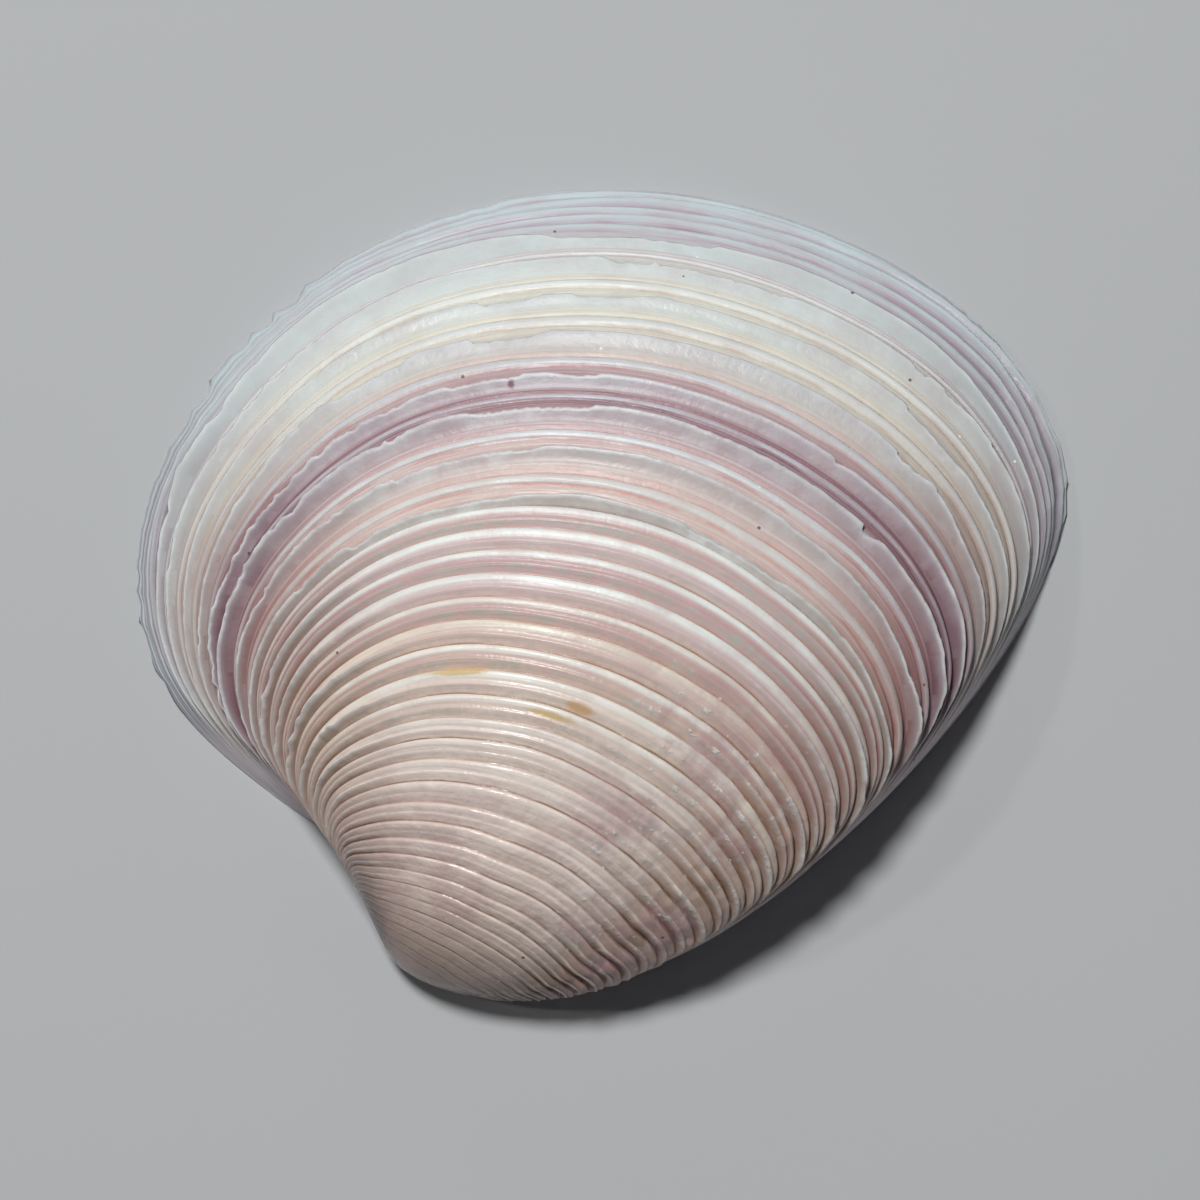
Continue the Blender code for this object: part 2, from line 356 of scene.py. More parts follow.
def wavyAt(growth):
    # two random lines, one times the cosine of growth and the other times its sine, less the bends
    *first, firstTurn = waves["first"]
    *second, secondTurn = waves["second"]
    first = roughLine(*first) * np.cos(growth / firstTurn)
    second = roughLine(*second) * np.sin(growth / secondTurn)
    (atFront, frontEnd), (atRear, rearEnd), (atBeak, beakEnd) = (
        waves[name] for name in ("bendFront", "bendRear", "beak"))
    bend = atFront * (1 - smoothStep(around, *frontEnd)) + atRear * smoothStep(around, *rearEnd)
    beak = atBeak * (1 - smoothStep(around, *beakEnd))
    older = smoothStep(growth, *waves["bendFrom"])
    oldest = smoothStep(growth, *waves["beakFrom"])
    return waves["height"] * (first + second) - bend * older - beak * oldest


def crowdAt(growth):
    # how close the growth lines lie compared with the middle
    age = np.full(around.shape, ageOf(growth))
    here = localFrame(age, around)[3]
    middle = localFrame(age[:1], np.array([spiral["middle"]]))[3]
    return here / middle


def slantAt(growth):
    # how far the smooth shell leans from level along the middle, as a tangent
    outward = localFrame(np.array([ageOf(growth)]), np.array([spiral["middle"]]))[2][0]
    return max(math.hypot(outward[0], outward[1]) / outward[2] * np.sign(outward[1]), 0.0)


def reachOf(number):
    # how far a lamella's edge reaches towards the rim, in mm of growth
    lamella = lamellae[number]
    places, factors = zip(*spreads["first" if number == 0 else "others"])
    crowd = crowdAt(lamella["root"])
    reach = lamella["length"] * np.interp(around, places, factors) * np.clip(crowd / 0.6, 0.15, 1) / crowd
    before = lamellae[number - 1]["root"] if number else 1.6
    return np.minimum(reach, 0.78 * (lamella["root"] - before))


def linesTogether(line, rows, number=0):
    # the sum of random lines of this sort, each times its depth
    return sum(deep * line(cells, seed + number) for cells, seed, deep in rows)


def edgeLeft(number, torn):
    # the share of a lamella that is left: 1, less slow waves, worn stretches, bites and breaks, each break
    # with one steep and one gentle end
    frilled = plateau(around, *tearing["frilled"])
    rng = np.random.default_rng(90 + number)
    worn = smoothStep(stepLine(17, 300 + number), 0.25, 0.45)
    lively = 0.25 + 0.75 * smoothStep(roughLine(29, 350 + number), -0.4, 0.5)
    cells, seed, deep = tearing["wornBites"]
    frontBites = linesTogether(cuspLine, tearing["frontBites"], number)
    rearBites = linesTogether(cuspLine, tearing["rearBites"], number)
    frill = frilled * frontBites * lively + rear * rearBites * lively
    frill = frill + deep * worn * cuspLine(cells, seed + number)
    worn = (0.05 + 0.20 * np.maximum(front, rear)) * worn
    slow = linesTogether(roughLine, tearing["waves"], number)
    left = 1 + slow + 0.22 * frilled + 0.08 * rear - torn * (frill + worn)
    for which, centre, half, deep in breaks:
        steep, gentle = rng.permutation(tearing["slopes"])
        if which == number:
            place = around - centre + 0.0012 * roughLine(131, 600 + number)
            broken = plateau(place, (-half - steep, -half + steep), (half - gentle, half + gentle))
            left = left - broken * deep * (0.75 + 0.45 * cuspLine(191, 650 + number))
    left = left + linesTogether(roughLine, tearing["fineWaves"], number)
    return np.clip(left, tearing["least"], tearing["most"])


# one entry for each ring of the outside: its values and the columns it skips
rows = []
ringSteps = []


def addRing(step, growth, phase, reach=0.0, height=0.0, face=0.0, tip=0.0, edge=0.0, torn=0.0):
    # one ring at a growth, moved towards the rim by reach and outwards by height, both in mm
    row = [growth, reach, height, phase, face, tip, edge, torn]
    rows.append(np.stack([np.broadcast_to(np.asarray(v, float), around.shape) for v in row]))
    ringSteps.append(step)


def rimRings():
    # the rounded edge of the rim, then the low ridges: a groove, a rise to the crest and a slope behind it;
    # at the front and rear the crest leans out over the groove
    addRing(1, 0.0, 0.0, edge=0.3)
    addRing(1, 0.10, 0.05, 0.02, 0.05, edge=0.5)
    last = lamellae[0]["root"] + wavyAt(lamellae[0]["root"]) - reachOf(0) + 0.1
    lines = [np.interp(around, rimRidges["places"], line) for line in rimRidges["grooves"]]
    lines = [np.minimum(line, last - rimRidges["least"] * (len(lines) - number))
             for number, line in enumerate(lines)]
    crowd = crowdAt(2.0)
    for number, (here, end) in enumerate(zip(lines, lines[1:] + [last])):
        room = end - here
        odd = number % 2
        joined = odd * (1 - smoothStep(around, *rimRidges["joined"]))
        strength = (0.75 + 0.6 * roughLine(11, 1500 + number)) * (1 - 0.8 * joined)
        high = rimRidges["height"] * np.clip(crowd, 0.2, 1) * smoothStep(room, 0.1, 0.7) * 1.3
        lean = rimRidges["front"] * front + rimRidges["rear"] * rear * (0.7 + 0.3 * odd)
        left = 1 - 0.5 * cuspLine(61, 1550 + number) * np.maximum(front, 0.6 * rear)
        high = (high + lean * left) * strength * fade
        reach = 0.5 * lean * left * np.clip(crowd / 0.6, 0.15, 1)
        proud = np.clip(lean * 4, 0, 1)
        addRing(2, here, number, 0, (0.11 * joined - 0.03 - 0.05 * rear) * fade)
        for share, ofReach, ofHigh, tip, edge in rimRidges["shape"]:
            addRing(2, here + share * room, number + share, ofReach * reach, ofHigh * high, tip=tip,
                    edge=edge * proud)


def lamellaRings(number, lamella, following):
    # one lamella: up its belly side, over its edge and down its beak side, then the floor behind it with
    # its rib, up to where the following lamella's edge covers it
    shape = lamellaShape
    root = lamella["root"]
    step = 2 if number == 0 else 1
    phase = number + len(rimRidges["grooves"])
    left = edgeLeft(number, lamella["torn"])
    crowd = crowdAt(root)
    slim = np.clip(crowd / 0.85, 0.08, 1)
    high = lamella["height"] * fade * (1 + lamella["front"] * front + lamella["rear"] * rear)
    far = reachOf(number) * crowd - lamella["height"] * slantAt(root) * np.clip(crowd, 0.2, 1)
    far = far * (1 + (0.12 + 0.22 * rear) * roughLine(29, 800 + number))
    high = high * (1 + (0.10 + 0.25 * rear) * roughLine(37, 830 + number))
    middle, flank = shape["undercut"]
    under = middle + (flank - middle) * np.maximum(front, rear)
    broken = softened(softened(np.clip((0.86 - left) * 2.4, 0, 1), 5), 5)
    even = softened(softened(left, 4), 4)    # towards the root the tears fade out
    start = root + wavyAt(root)
    rings = [(share, -1) for share in shape["rise"]] + [(share, 1) for share in shape["fall"]]
    for share, side in rings:
        kept = even + (left - even) * share ** 2
        t = share * kept
        half = (shape["rootHalf"] + (shape["edgeHalf"] - shape["rootHalf"]) * share) * slim
        foot = shape["foot"] * slim if share == 0 else 0
        if side < 0:
            reach = far * kept * (1 - under * (1 - share)) + half + foot
        else:
            reach = far * t - half - foot
        height = high * t - (0.02 if share == 0 else 0.0)
        addRing(step, start, phase, reach, height, face=1.0, tip=share,
                edge=smoothStep(share, 0.75, 1.0), torn=broken)
    if following is None:
        return
    first = start + (shape["rootHalf"] + shape["foot"]) * slim / crowd + 0.03
    room = following["root"] + wavyAt(following["root"]) - reachOf(number + 1) - first
    rib = lamella["rib"] * (0.3 + 0.7 * risen) * np.clip(crowd / 0.5, 0.1, 1)
    rib = rib * (1 + 0.25 * roughLine(23, 850 + number)) * (1 + 0.9 * rear + 0.3 * front)
    dip = shape["dip"] * np.clip(crowd, 0.1, 1) * (1 + 2.2 * rear + 1.0 * front)
    for share, ofDip, ofRib in shape["floor"]:
        addRing(2, first + share * room, phase + share, 0, ofDip * dip + ofRib * rib)


def ridgeRings(number, start, end, phase):
    # one older ridge: a groove, a crest, a slope, then a step down over a low lamella to the next groove;
    # on the flanks these lamellae stand up and are frilled, every second one most
    crowd = crowdAt(start)
    squeeze = np.clip(crowd / 0.5, 0.1, 1)
    small = min(1.0, 2.4 * shrunk(ageOf(start)))
    coarse = start > ridges["coarseFrom"]
    skip = 4 if coarse else 2
    cells = 61 if coarse else 97
    strong = number % 2
    plainFront = 0.85 * smoothStep(start, *ridges["plainFront"]) * (1 - smoothStep(around, 0.36, 0.54))
    plain = (1 - 0.80 * smoothStep(start, *ridges["plainBeak"])) * (1 - plainFront)
    rough = 0.10 + 0.90 * (plateau(around, *ridges["roughRear"]) * smoothStep(start, 24, 30))
    chip = rough * smoothStep(roughLine(cells, 1200 + number), -0.1, 0.5)
    knob = 0.03 * rough * roughLine(cells - 8, 1280 + number) * small
    late = smoothStep(start, 33, 38) * rear
    tooth = 1 + (0.12 * rough + 0.45 * late) * roughLine(cells + 6, 1330 + number)
    faded = 0.15 + 0.85 * risen
    high = ridges["crest"] * small * faded * plain * (1 + 0.12 * roughLine(31, 1100 + number))
    high = high * (1.10 - 0.20 * strong) * (1 - 0.2 * strong * front) * (1 + 0.5 * rear)
    high = high * (1 - 0.15 * chip) * tooth
    lip = ridges["lip"] * squeeze * plain * (1 - 0.5 * chip)
    deep = ridges["depth"] * squeeze * plain * (1 + 1.2 * np.maximum(front, 1.8 * rear))
    stand = front * (1 - smoothStep(start, 28, 37)) * (0.10 + 0.30 * strong)
    stand = np.maximum(stand, rear * (0.15 + 0.20 * strong) * (1 - 0.6 * smoothStep(start, 27, 36)))
    stand = stand * faded * small * ridges["standing"] * edgeLeft(20 + number, 0.9)
    stepHigh = ridges["step"] * small * plain * (0.8 + 0.9 * strong) * (1 - 0.8 * chip)
    stepHigh = stepHigh * (1 - 0.9 * smoothStep(start, 30, 35) * (1 - rough)) + stand
    stepFar = 0.04 * squeeze + 0.35 * stand * np.clip(crowd / 0.6, 0.15, 1)
    here = start + wavyAt(start)
    room = end + wavyAt(end) - here
    span = room * crowd
    lip = np.minimum(lip, 0.07 * span)
    stepFar = np.minimum(stepFar, 0.035 * span + 0.5 * stand)
    stepWide = np.minimum(0.07 * squeeze, 0.05 * span)
    proud = np.clip(stand * 3, 0, 1)
    addRing(skip, here, phase, 0, -deep)
    for share, ofLip, ofHigh in ridges["crestShape"]:
        addRing(skip, here + share * room, phase + share, ofLip * lip, ofHigh * high)
    addRing(skip, here + 0.50 * room, phase + 0.50, 0, 0.55 * high + 0.5 * knob)
    torn = 0.5 * softened(chip, 2)
    addRing(skip, here + 0.56 * room, phase + 0.55, stepFar, 0.50 * high + stepHigh, tip=1.0,
            edge=proud, torn=torn)
    addRing(skip, here + 0.60 * room, phase + 0.59, stepFar - stepWide, 0.50 * high + 0.97 * stepHigh,
            face=proud, tip=1.0, edge=proud, torn=torn)
    addRing(skip, here + 0.74 * room, phase + 0.74, 0.35 * stepFar, 0.30 * high + 0.5 * stepHigh - knob,
            face=proud, tip=0.5)
    addRing(skip, here + 0.93 * room, phase + 0.93, 0, -0.1 * deep, face=0.5 * proud)


def outsideRings():
    # every ring from the rim to the beak, in the order in which growth would be undone
    rimRings()
    for number, lamella in enumerate(lamellae):
        lamellaRings(number, lamella, (lamellae + [None])[number + 1])
    phase = len(rimRidges["grooves"]) + len(lamellae)
    places = ridges["grooves"]
    for number, (start, end) in enumerate(zip(places, places[1:])):
        ridgeRings(number, start, end, phase + number)
    for growth in (48.0, 48.8, 49.6, 50.4, 51.2):    # the smooth tip of the beak
        addRing(4, growth + wavyAt(growth), phase + len(places) - 0.5)


print("working out the outside")
outsideRings()
outsideRows = np.array(rows)
growthRows = np.clip(outsideRows[:, 0], 0, None)
age = ageOf(growthRows)
roundRows = np.broadcast_to(around, age.shape)
toRim, outward = localFrame(age, roundRows)[1:3]
outside = growthSurface(age, roundRows)
outside = outside + toRim * outsideRows[:, 1, :, None] + outward * outsideRows[:, 2, :, None]
outside[1:, :, 2] = np.maximum(outside[1:, :, 2], 0.05)

# the rim is worn back on the front half of the belly, most at the front, and ends in a step; smaller bites
# are given as how many lie round the margin, a seed and how deep they are
rimWear = {
    "front": 0.36,
    "belly": 0.24,
    "step": (0.4535, 0.4565),
    "fall": 0.8,
    "bites": [(71, 32, 0.46), (151, 33, 0.08)],
    "bitesFall": 1.3,
    "bitesRear": 0.35,
}
beforeStep = 1 - smoothStep(around, *rimWear["step"])
worn = rimWear["belly"] + (rimWear["front"] - rimWear["belly"]) * (1 - smoothStep(around, 0.28, 0.38))
worn = worn * (0.85 + 0.35 * roughLine(41, 31)) * smoothStep(around, 0.19, 0.25) * beforeStep
ragged = linesTogether(cuspLine, rimWear["bites"])
bites = ragged * smoothStep(around, 0.17, 0.22) * (1 - 0.6 * smoothStep(around, 0.36, 0.44)) * beforeStep
ragged = rimWear["bitesRear"] * ragged
bites = bites + ragged * smoothStep(around, 0.61, 0.66) * (1 - smoothStep(around, 0.74, 0.78))
back = worn * np.exp(-growthRows / rimWear["fall"]) + bites * np.exp(-growthRows / rimWear["bitesFall"])
outside = outside - unit(outward[0] * np.array([1, 1, 0])) * back[..., None]
print("rings of the outside", len(outside))

# the inside: a flat rim, the hinge plate with its teeth, then the hollow, one wall under the outside
inside = {
    "wall": 1.5,
    "rimWidth": 1.3,
    "hingeRimWidth": 1.0,
    "plateHeight": 1.3,
    "plateWidth": 5.0,
    "plateFront": (-11.0, -2.0),
    "plateRear": (9.0, 26.0),
    "plateBelow": (10, 16),
    "plateRings": 7,            # with the rim's inner edge
    "rimSlope": 0.5,
    "plateSide": 0.4,
    "least": 0.2,
    "steepest": 1.6,            # rise for each mm from the rim
    "closerIn": 1.15,           # rings lie closer together near the plate than further in
    "centre": (8.5, 19.0),
    "plateSlope": 2.2,
    "rings": (3, 19, 8),        # with every column, every second one and every fourth one
    "notches": 150,
    "notchDepth": 0.10,
    # each tooth: the foot of its middle, its length, its width and the way it points in degrees
    "teeth": [((0.8, 6.2), 3.2, 0.8, 114), ((3.6, 6.0), 3.6, 1.1, 84), ((7.6, 5.6), 4.6, 0.9, 36)],
    "toothTip": 0.3,
    "toothSides": (0.25, 0.95),
    "toothEnds": (0.35, 0.58),
}

# a grid of the inside's heights: its first corner, the side of a square, how many squares there are, how
# many points of the outside are read and how often the squares are evened out
roof = {
    "corner": np.array([-26.0, -24.0]),
    "side": 0.25,
    "squares": np.array([208, 192]),
    "read": (900, 1500),
    "evened": 4,
}


def roofHeights():
    # the highest point of the smooth outside, moved one wall inwards, over each square, then the mean of
    # each square and those around it
    ages = np.linspace(0, spiral["oldest"], roof["read"][0])[:, None]
    ages, rounds = np.broadcast_arrays(ages, np.linspace(0, 1, roof["read"][1])[None, :])
    points = growthSurface(ages, rounds) - inside["wall"] * localFrame(ages, rounds)[2]
    grid = np.zeros(roof["squares"])
    cell = ((points[..., :2] - roof["corner"]) / roof["side"]).astype(int)
    inGrid = ((cell > 0) & (cell < roof["squares"] - 1)).all(axis=-1)
    np.maximum.at(grid, tuple(cell[inGrid].T), np.maximum(points[..., 2][inGrid], 0))
    long, wide = grid.shape
    for turn in range(roof["evened"]):
        padded = np.pad(grid, 1, mode="edge")
        grid = sum(padded[i:i + long, j:j + wide] for i in range(3) for j in range(3)) / 9
    return grid


roofGrid = roofHeights()


def roofAt(flat):
    # the grid's height, blended between its squares' middles
    at = (flat - roof["corner"]) / roof["side"] - 0.5
    i = np.clip(at.astype(int), 0, roof["squares"] - 2)
    t = np.clip(at - i, 0, 1)
    a, b = i[..., 0], i[..., 1]
    low, high = (blended(roofGrid[a, c], roofGrid[a + 1, c], t[..., 0]) for c in (b, b + 1))
    return blended(low, high, t[..., 1])


def toothDrop(flat):
    # how far a tooth comes down from the hinge plate: a rounded bar across a straight line
    drop = np.zeros(flat.shape[:-1])
    for foot, length, width, turned in inside["teeth"]:
        away = flat - (np.array(foot) + np.array(spiral["pole"]))
        direction = np.array([math.cos(math.radians(turned)), math.sin(math.radians(turned))])
        forth = np.abs(away @ direction)
        side = np.abs(away @ np.array([-direction[1], direction[0]]))
        bar = 1 - smoothStep(side, *(width * share for share in inside["toothSides"]))
        bar *= 1 - smoothStep(forth, *(length * share for share in inside["toothEnds"]))
        drop = np.maximum(drop, bar)
    return drop


def insideRings():
    # rings from the rim's inner edge to the deepest point, each at a share of the way inwards: the rim,
    # the hinge plate, then a rise to the roof by 1 - exp(-way/slope)
    margin = marginAt(around)
    hinge = plateau(margin[:, 0], inside["plateFront"], inside["plateRear"])
    hinge = hinge * (1 - smoothStep(margin[:, 1], *inside["plateBelow"]))
    way = np.array(inside["centre"]) - margin
    reach = np.linalg.norm(way, axis=1)
    way = way / reach[:, None]
    rim = inside["rimWidth"] + (inside["hingeRimWidth"] - inside["rimWidth"]) * hinge
    notch = 0.5 + 0.5 * np.cos(2 * math.pi * inside["notches"] * around)
    notch = inside["notchDepth"] * (1 - hinge) * notch
    first = rim + inside["rimSlope"]
    plate = first + (inside["plateWidth"] - inside["hingeRimWidth"]) * hinge + inside["plateSide"]
    onPlate = inside["plateRings"]
    left = sum(inside["rings"]) - onPlate + 1
    depths = [rim, first] + [first + (plate - first) * share for share in (0.2, 0.4, 0.6, 0.8, 1.0)]
    shares = (np.arange(1, left) / left) ** inside["closerIn"]
    depths += [plate + (reach - plate) * share for share in shares]
    rings = []
    for number, depth in enumerate(depths):
        flat = margin + way * depth[:, None] + np.array(spiral["pole"])
        roofHere = roofAt(flat)
        if number == 0:
            height = np.zeros(around.shape)
        elif number < onPlate:
            free = np.minimum(np.maximum(roofHere, inside["least"]), (depth - rim) * inside["steepest"])
            height = edge = free + (inside["plateHeight"] - free) * hinge + notch * (number == 1)
        else:
            rise = 1 - np.exp(-(depth - plate) / inside["plateSlope"])
            height = edge + (roofHere - edge) * rise
        tooth = toothDrop(flat) * hinge * (number > 0)
        height = height * (1 - tooth) + np.minimum(height, inside["toothTip"]) * tooth
        rings.append(np.column_stack([flat, height]))
    return np.array(rings), np.array(depths)


print("working out the inside")
insideRows, insideDepths = insideRings()
top = np.array(inside["centre"]) + np.array(spiral["pole"])
top = np.append(top, roofAt(top[None])[0])
print("rings of the inside", len(insideRows))

# each point's values, from which its colours are worked out
valueNames = ["growth", "phase", "face", "tip", "edge", "torn", "inner", "around"]


def allRings():
    # every ring's points and their values: the deepest point inside, the rings from there over the rim to
    # the beak, then the beak's tip, the mean of the last ring
    flat = np.zeros(around.shape)
    steps = np.repeat([1, 2, 4], inside["rings"])
    chain = [(insideRows[k], [insideDepths[k]] + [flat] * 5 + [flat + (1.0 if k else 0.6)], steps[k])
             for k in reversed(range(len(steps)))]
    chain += [(outside[k], [growthRows[k], *outsideRows[k, 3:], flat], ringSteps[k])
              for k in range(len(ringSteps))]
    rings = [top[None]] + [ring[::step] for ring, row, step in chain]
    rings.append(rings[-1].mean(axis=0)[None])
    values = [np.column_stack(row + [around])[::step] for ring, row, step in chain]
    return rings, np.vstack([[30.0, 0, 0, 0, 0, 0, 1, 0.5], *values, [52.0, 0, 0, 0, 0, 0, 0, 0.5]])


rings, values = allRings()
starts = np.cumsum([0] + [len(ring) for ring in rings])
# the way along the middle from ring to ring, as shares of the whole, gives the map's second coordinate
run = lengthAlong(np.array([ring[int(len(ring) * spiral["middle"])] for ring in rings]))
run /= run[-1]
faces, maps, kinds = [], [], []


def addFaces(inner, *corners):
    # one face between these corners for each number; a corner is its points and their two coordinates
    faces.append(np.stack([point for point, u, v in corners], axis=1))
    maps.append(np.stack([side for point, u, v in corners for side in (u, v)], axis=1))
    kinds.append(np.full(len(faces[-1]), inner))


def corner(ring, number):
    # a ring's points by their numbers, going round to the first one again
    size = len(rings[ring])
    return starts[ring] + number % size, number / size, run[ring] + 0 * number


def fanMiddle(ring, number):
    # the point that closes an end, once for each face
    return starts[ring] + 0 * number, (number + 0.5) / len(number), run[ring] + 0 * number


def allFaces():
    # between rings of the same size four-cornered faces, else two fine columns meet one coarse column in
    # three triangles; last the two ends
    for ring in range(1, len(rings) - 2):
        inner = int(ring <= len(insideRows))
        size, nextSize = len(rings[ring]), len(rings[ring + 1])
        i = np.arange(min(size, nextSize))
        if size == nextSize:
            places = ((ring, i), (ring + 1, i), (ring + 1, i + 1), (ring, i + 1))
            addFaces(inner, *(corner(*place) for place in places))
            continue
        coarse, fine = (ring, ring + 1) if size < nextSize else (ring + 1, ring)
        for places in (((coarse, i), (fine, 2 * i), (fine, 2 * i + 1)),
                       ((coarse, i), (fine, 2 * i + 1), (coarse, i + 1)),
                       ((coarse, i + 1), (fine, 2 * i + 1), (fine, 2 * i + 2))):
            first, second, third = (corner(*place) for place in places)
            if size > nextSize:
                second, third = third, second
            addFaces(inner, first, second, third)
    i = np.arange(len(rings[1]))
    addFaces(1, fanMiddle(0, i), corner(1, i), corner(1, i + 1))
    last = len(rings) - 2
    i = np.arange(len(rings[last]))
    addFaces(0, corner(last, i), fanMiddle(last + 1, i), corner(last, i + 1))


allFaces()
points = np.vstack(rings)


def shellMesh():
    # the mesh in metres, with the map's coordinates at every corner
    mesh = bpy.data.meshes.new("shellValve")
    loops = np.concatenate([face.ravel() for face in faces])
    totals = np.concatenate([np.full(len(face), face.shape[1]) for face in faces])
    mesh.vertices.add(len(points))
    mesh.vertices.foreach_set("co", (points * mm).astype(np.float32).ravel())
    mesh.loops.add(len(loops))
    mesh.loops.foreach_set("vertex_index", loops.astype(np.int32))
    mesh.polygons.add(len(totals))
    mesh.polygons.foreach_set("loop_start", (np.cumsum(totals) - totals).astype(np.int32))
    mesh.update(calc_edges=True)
    uvMap = mesh.uv_layers.new(name="OFBake")
    uvMap.data.foreach_set("uv", np.concatenate([part.ravel() for part in maps]).astype(np.float32))
    mesh.polygons.foreach_set("use_smooth", np.ones(len(totals), bool))
    mesh.validate()
    return mesh


mesh = shellMesh()


def addLayer(name, layerValues):
    # one value, or a vector, for each point of the mesh
    kind, label = ("FLOAT", "value") if layerValues.ndim == 1 else ("FLOAT_VECTOR", "vector")
    layer = mesh.attributes.new(name, kind, "POINT")
    layer.data.foreach_set(label, layerValues.astype(np.float32).ravel())


for name, column in zip(valueNames, values.T):
    addLayer(name, column)
growthOf, inner, roundPlace = values[:, 0], values[:, 6], values[:, 7]
circle = roundPlace * 2 * math.pi
addLayer("lines", np.stack([np.cos(circle), np.sin(circle), growthOf], axis=1))

# marks inside: ovals for the two muscles and under the teeth, each its centre, half sizes and softness,
# and a line between them, this deep from the rim
scarMarks = {
    "ovals": [((-16.0, 2.6), (2.4, 3.6), 0.15), ((15.2, 2.8), (3.0, 3.6), 0.15),
              ((10.8, 5.6), (3.2, 1.5), 0.25)],
    "lineDepth": 5.6,
    "lineHalf": 0.45,
    "lineFrom": 3.0,
}
scars = np.exp(-((growthOf - scarMarks["lineDepth"]) / scarMarks["lineHalf"]) ** 2)
scars = scars * (points[:, 1] > scarMarks["lineFrom"])
for centre, half, soft in scarMarks["ovals"]:
    far = np.linalg.norm((points[:, :2] - np.array(centre)) / np.array(half), axis=1)
    scars = np.maximum(scars, 1 - smoothStep(far, 1 - soft, 1 + soft))
addLayer("scar", scars * inner)

# the front and rear ends are darker than the middle: partly the shell's own deeper colour, partly painted
# shade where the steep sides turn away from the lamps
sideMask = {
    "front": (0.24, 0.38),
    "frontEnd": (0.15, 0.18),
    "rear": (0.59, 0.72),
    "rearEnd": (0.765, 0.80),
    "old": (22.0, 36.0),
    "oldMove": 0.04,
}
old = smoothStep(growthOf, *sideMask["old"])
frontSide = 1 - smoothStep(roundPlace, *sideMask["front"])
frontSide = frontSide * (0.5 + 0.5 * smoothStep(roundPlace, *sideMask["frontEnd"])) * (1 - 0.25 * old)
rearSide = smoothStep(roundPlace + sideMask["oldMove"] * old, *sideMask["rear"])
rearSide = rearSide * (1 - 0.7 * smoothStep(roundPlace, *sideMask["rearEnd"]))
addLayer("side", np.maximum(frontSide, rearSide) * (1 - inner))


def addObject(name, content):
    # an object made of this mesh, lamp or camera and put in the scene
    thing = bpy.data.objects.new(name, content)
    bpy.context.scene.collection.objects.link(thing)
    return thing


shell = addObject("shellValve", mesh)
print("shell triangles", sum(len(face) * (face.shape[1] - 2) for face in faces))


def srgb(red, green, blue):
    # a colour given in 0-255 steps as seen, made linear
    return tuple(float(part) for part in (np.array([red, green, blue]) / 255.0) ** 2.2) + (1.0,)


def put(socket, value):
    # joined to the value if that comes from another node, else set to it
    if isinstance(value, bpy.types.NodeSocket):
        socket.id_data.links.new(value, socket)
    else:
        socket.default_value = value


def addNode(tree, kind, inputs=None, **settings):
    # a node with its settings, then its inputs by name or number
    node = tree.nodes.new("ShaderNode" + kind)
    for name, value in settings.items():
        setattr(node, name, value)
    for key, value in (inputs or {}).items():
        put(node.inputs[key], value)
    return node


def addBeside(kind, inputs, **settings):
    # a node in the tree of the first of its inputs that comes from another node
    tree = next(value.id_data for value in inputs.values() if isinstance(value, bpy.types.NodeSocket))
    return addNode(tree, kind, inputs, **settings)


def readLayers(tree, *names):
    # the mesh's own values, by their names
    return [addNode(tree, "Attribute", attribute_name=name).outputs["Fac"] for name in names]


def maths(operation, *inputs, clamp=False):
    return addBeside("Math", dict(enumerate(inputs)), operation=operation, use_clamp=clamp).outputs[0]


def times(product, *others):
    # everything multiplied together
    for value in others:
        product = maths("MULTIPLY", product, value)
    return product


def plus(first, second, clamp=False):
    return maths("ADD", first, second, clamp=clamp)


def scaled(value, factor, added):
    # value * factor + added
    return maths("MULTIPLY_ADD", value, factor, added)


def larger(first, second):
    return maths("MAXIMUM", first, second)


def rest(value):
    # what is left of 1
    return maths("SUBTRACT", 1.0, value)


def between(value, low, high, start=0.0, end=1.0):
    # start below low, end above high, an S-shaped change between
    inputs = {"Value": value, "From Min": low, "From Max": high, "To Min": start, "To Max": end}
    return addBeside("MapRange", inputs, interpolation_type="SMOOTHSTEP").outputs["Result"]


def within(value, rise, fall, least=0.0):
    # 0, up to 1 over the stretch rise, and down to least over the stretch fall
    return times(between(value, *rise), between(value, *fall, 1.0, least))


def mixColour(factor, first, second, blend="MIX"):
    # second laid over first; each is a socket or a colour in 0-255 steps
    first, second = (srgb(*part) if isinstance(part, tuple) else part for part in (first, second))
    return addBeside("Mix", {0: factor, 6: first, 7: second}, data_type="RGBA", blend_type=blend).outputs[2]


def coated(colour, *coats):
    # coats laid on one after another, each the factor, the colour and, if it is not plain, its blend
    for factor, coat, *blend in coats:
        colour = mixColour(factor, colour, coat, *blend)
    return colour


def rampOf(value, stops):
    # a colour ramp; each stop is its place from 0 to 1 and its colour
    node = addBeside("ValToRGB", {"Fac": value})
    points = node.color_ramp.elements
    while len(points) < len(stops):
        points.new(1.0)
    for point, (place, colour) in zip(points, stops):
        point.position = place
        point.color = colour
    return node.outputs["Color"]


def noiseOf(vector, scale, detail, roughness=0.5):
    # uneven values from 0 to 1
    inputs = {"Vector": vector, "Scale": scale, "Detail": detail, "Roughness": roughness}
    return addBeside("TexNoise", inputs).outputs["Fac"]


def newGroup(name, inputs, outputs):
    # a node group with these sockets, and the insides of its two ends
    group = bpy.data.node_groups.new(name, "ShaderNodeTree")
    for way, sockets in (("INPUT", inputs), ("OUTPUT", outputs)):
        for label, kind in sockets.items():
            group.interface.new_socket(label, in_out=way, socket_type="NodeSocket" + kind)
    return group, group.nodes.new("NodeGroupInput").outputs, group.nodes.new("NodeGroupOutput").inputs


def useGroup(group, **inputs):
    return addBeside("Group", inputs, node_tree=group).outputs


